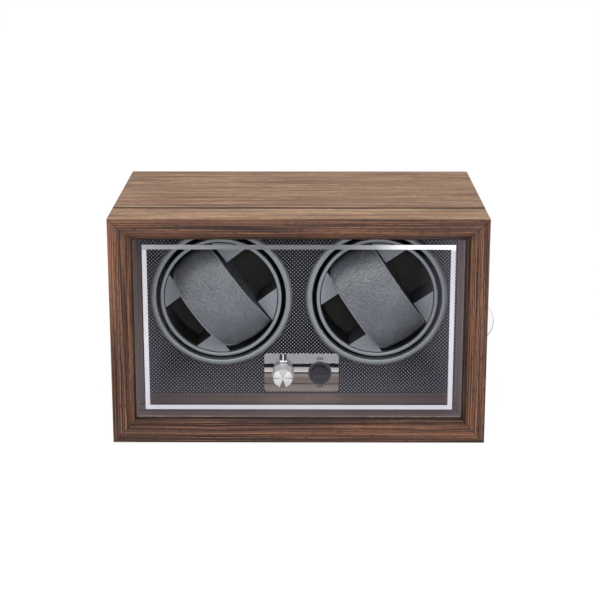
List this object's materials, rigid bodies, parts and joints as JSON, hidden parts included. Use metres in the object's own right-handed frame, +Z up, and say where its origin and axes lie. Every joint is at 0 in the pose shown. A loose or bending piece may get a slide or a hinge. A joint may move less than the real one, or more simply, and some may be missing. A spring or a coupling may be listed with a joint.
{
  "type": "watch winder box",
  "caption": "Wooden watch winder box with a side-hinged glazed door, motor-driven cups holding watch pillows, a selector knob and a rocker switch.",
  "frame": {"origin": "Middle of the box's underside, on the face of the base felt that rests on the table.", "axes": "+X to the right as seen from the front, +Y from the door to the back, +Z up."},
  "size_m": [0.3117, 0.2, 0.186],
  "materials": {
    "walnut_top": "satin",
    "walnut": "satin",
    "walnut_door": "satin",
    "bead_wood": "satin",
    "softwood": "raw",
    "plywood": "raw",
    "back_board": "matte",
    "felt": "felt",
    "carbon_film": "carbon weave",
    "grey_trim": "satin",
    "petal_grey": "satin",
    "cup_black": "matte",
    "pillow_leather": "pebbled",
    "mirror_chrome": "polished",
    "crystal": "clear",
    "clear_acrylic": "clear",
    "glass": "clear",
    "silver_print": "satin",
    "switch_black": "gloss",
    "steel": "satin",
    "nickel": "nickel plated",
    "screw_black": "black oxide",
    "bronze": "sintered",
    "brass": "machined",
    "acetal": "natural",
    "motor_steel": "zinc plated",
    "pcb_green": "solder mask",
    "nylon": "natural",
    "wire_red": "sleeved",
    "selector_grey": "matte"
  },
  "bodies": {
    "case": {"top_board": "walnut_top", "bottom_board": "walnut", "left_board": "walnut", "right_board": "walnut", "back_panel": "back_board", "back_screws": "screw_black", "base_felt": "felt", "display_panel": "carbon_film", "panel_cleats": "softwood", "bezel_ring_left": "grey_trim", "bezel_ring_right": "grey_trim", "control_plate": "mirror_chrome", "selector_switch": "selector_grey", "switch_housing": "switch_black", "switch_rim": "mirror_chrome", "chassis_board": "plywood", "chassis_cleats": "softwood", "chassis_screws": "steel", "shaft_bush_left": "bronze", "shaft_bush_right": "bronze", "gearmotor_left": "motor_steel", "gearmotor_right": "motor_steel", "circuit_board": "pcb_green", "board_posts": "nylon", "wire_harness": "wire_red", "dc_jack": "switch_black", "hinge_case_leaves": "nickel", "hinge_pins": "nickel", "hinge_case_screws": "nickel", "strike_discs": "steel"},
    "door": {"door_top_rail": "walnut_door", "door_bottom_rail": "walnut_door", "door_left_stile": "walnut_door", "door_right_stile": "walnut_door", "glass_pane": "glass", "glass_border": "silver_print", "glass_beads": "bead_wood", "pull_tab": "clear_acrylic", "door_magnets": "steel", "hinge_door_leaves": "nickel", "hinge_door_screws": "nickel"},
    "left_drum": {"cup_left": "cup_black", "cup_rim_left": "grey_trim", "petal_blocks_left": "petal_grey", "cup_shaft_left": "steel", "drive_gear_left": "acetal", "shaft_clip_left": "screw_black"},
    "left_pillow": {"pillow_left": "pillow_leather"},
    "left_pinion": {"motor_pinion_left": "brass"},
    "right_drum": {"cup_right": "cup_black", "cup_rim_right": "grey_trim", "petal_blocks_right": "petal_grey", "cup_shaft_right": "steel", "drive_gear_right": "acetal", "shaft_clip_right": "screw_black"},
    "right_pillow": {"pillow_right": "pillow_leather"},
    "right_pinion": {"motor_pinion_right": "brass"},
    "knob": {"selector_knob": "crystal", "selector_spindle": "steel"},
    "switch_rocker": {"rocker": "switch_black"}
  },
  "joints": [
    {"name": "door_hinge", "type": "hinge", "parent": "case", "child": "door", "pos_m": [-0.1525, -0.058, 0.0935], "axis": [0, 0, -1], "range_deg": [0, 170]},
    {"name": "left_drum_spin", "type": "hinge", "parent": "case", "child": "left_drum", "pos_m": [-0.065, -0.0345, 0.1045], "axis": [0, 1, 0], "continuous": true},
    {"name": "left_pillow_pull", "type": "slide", "parent": "left_drum", "child": "left_pillow", "axis": [0, -1, 0], "range_m": [0, 0.036]},
    {"name": "left_pinion_spin", "type": "hinge", "parent": "case", "child": "left_pinion", "pos_m": [-0.065, -0.0345, 0.0685], "axis": [0, 1, 0], "continuous": true},
    {"name": "right_drum_spin", "type": "hinge", "parent": "case", "child": "right_drum", "pos_m": [0.065, -0.0345, 0.1045], "axis": [0, 1, 0], "continuous": true},
    {"name": "right_pillow_pull", "type": "slide", "parent": "right_drum", "child": "right_pillow", "axis": [0, -1, 0], "range_m": [0, 0.036]},
    {"name": "right_pinion_spin", "type": "hinge", "parent": "case", "child": "right_pinion", "pos_m": [0.065, -0.0345, 0.0685], "axis": [0, 1, 0], "continuous": true},
    {"name": "knob_turn", "type": "hinge", "parent": "case", "child": "knob", "pos_m": [-0.0135, -0.0323, 0.03825], "axis": [0, 1, 0], "range_deg": [-120, 120]},
    {"name": "rocker_tip", "type": "hinge", "parent": "case", "child": "switch_rocker", "pos_m": [0.0175, -0.03, 0.03825], "axis": [-1, 0, 0], "range_deg": [0, 16]}
  ],
  "couplings": [
    {"joint": "left_pinion_spin", "follows": "left_drum_spin", "ratio": -3},
    {"joint": "right_pinion_spin", "follows": "right_drum_spin", "ratio": -3}
  ]
}
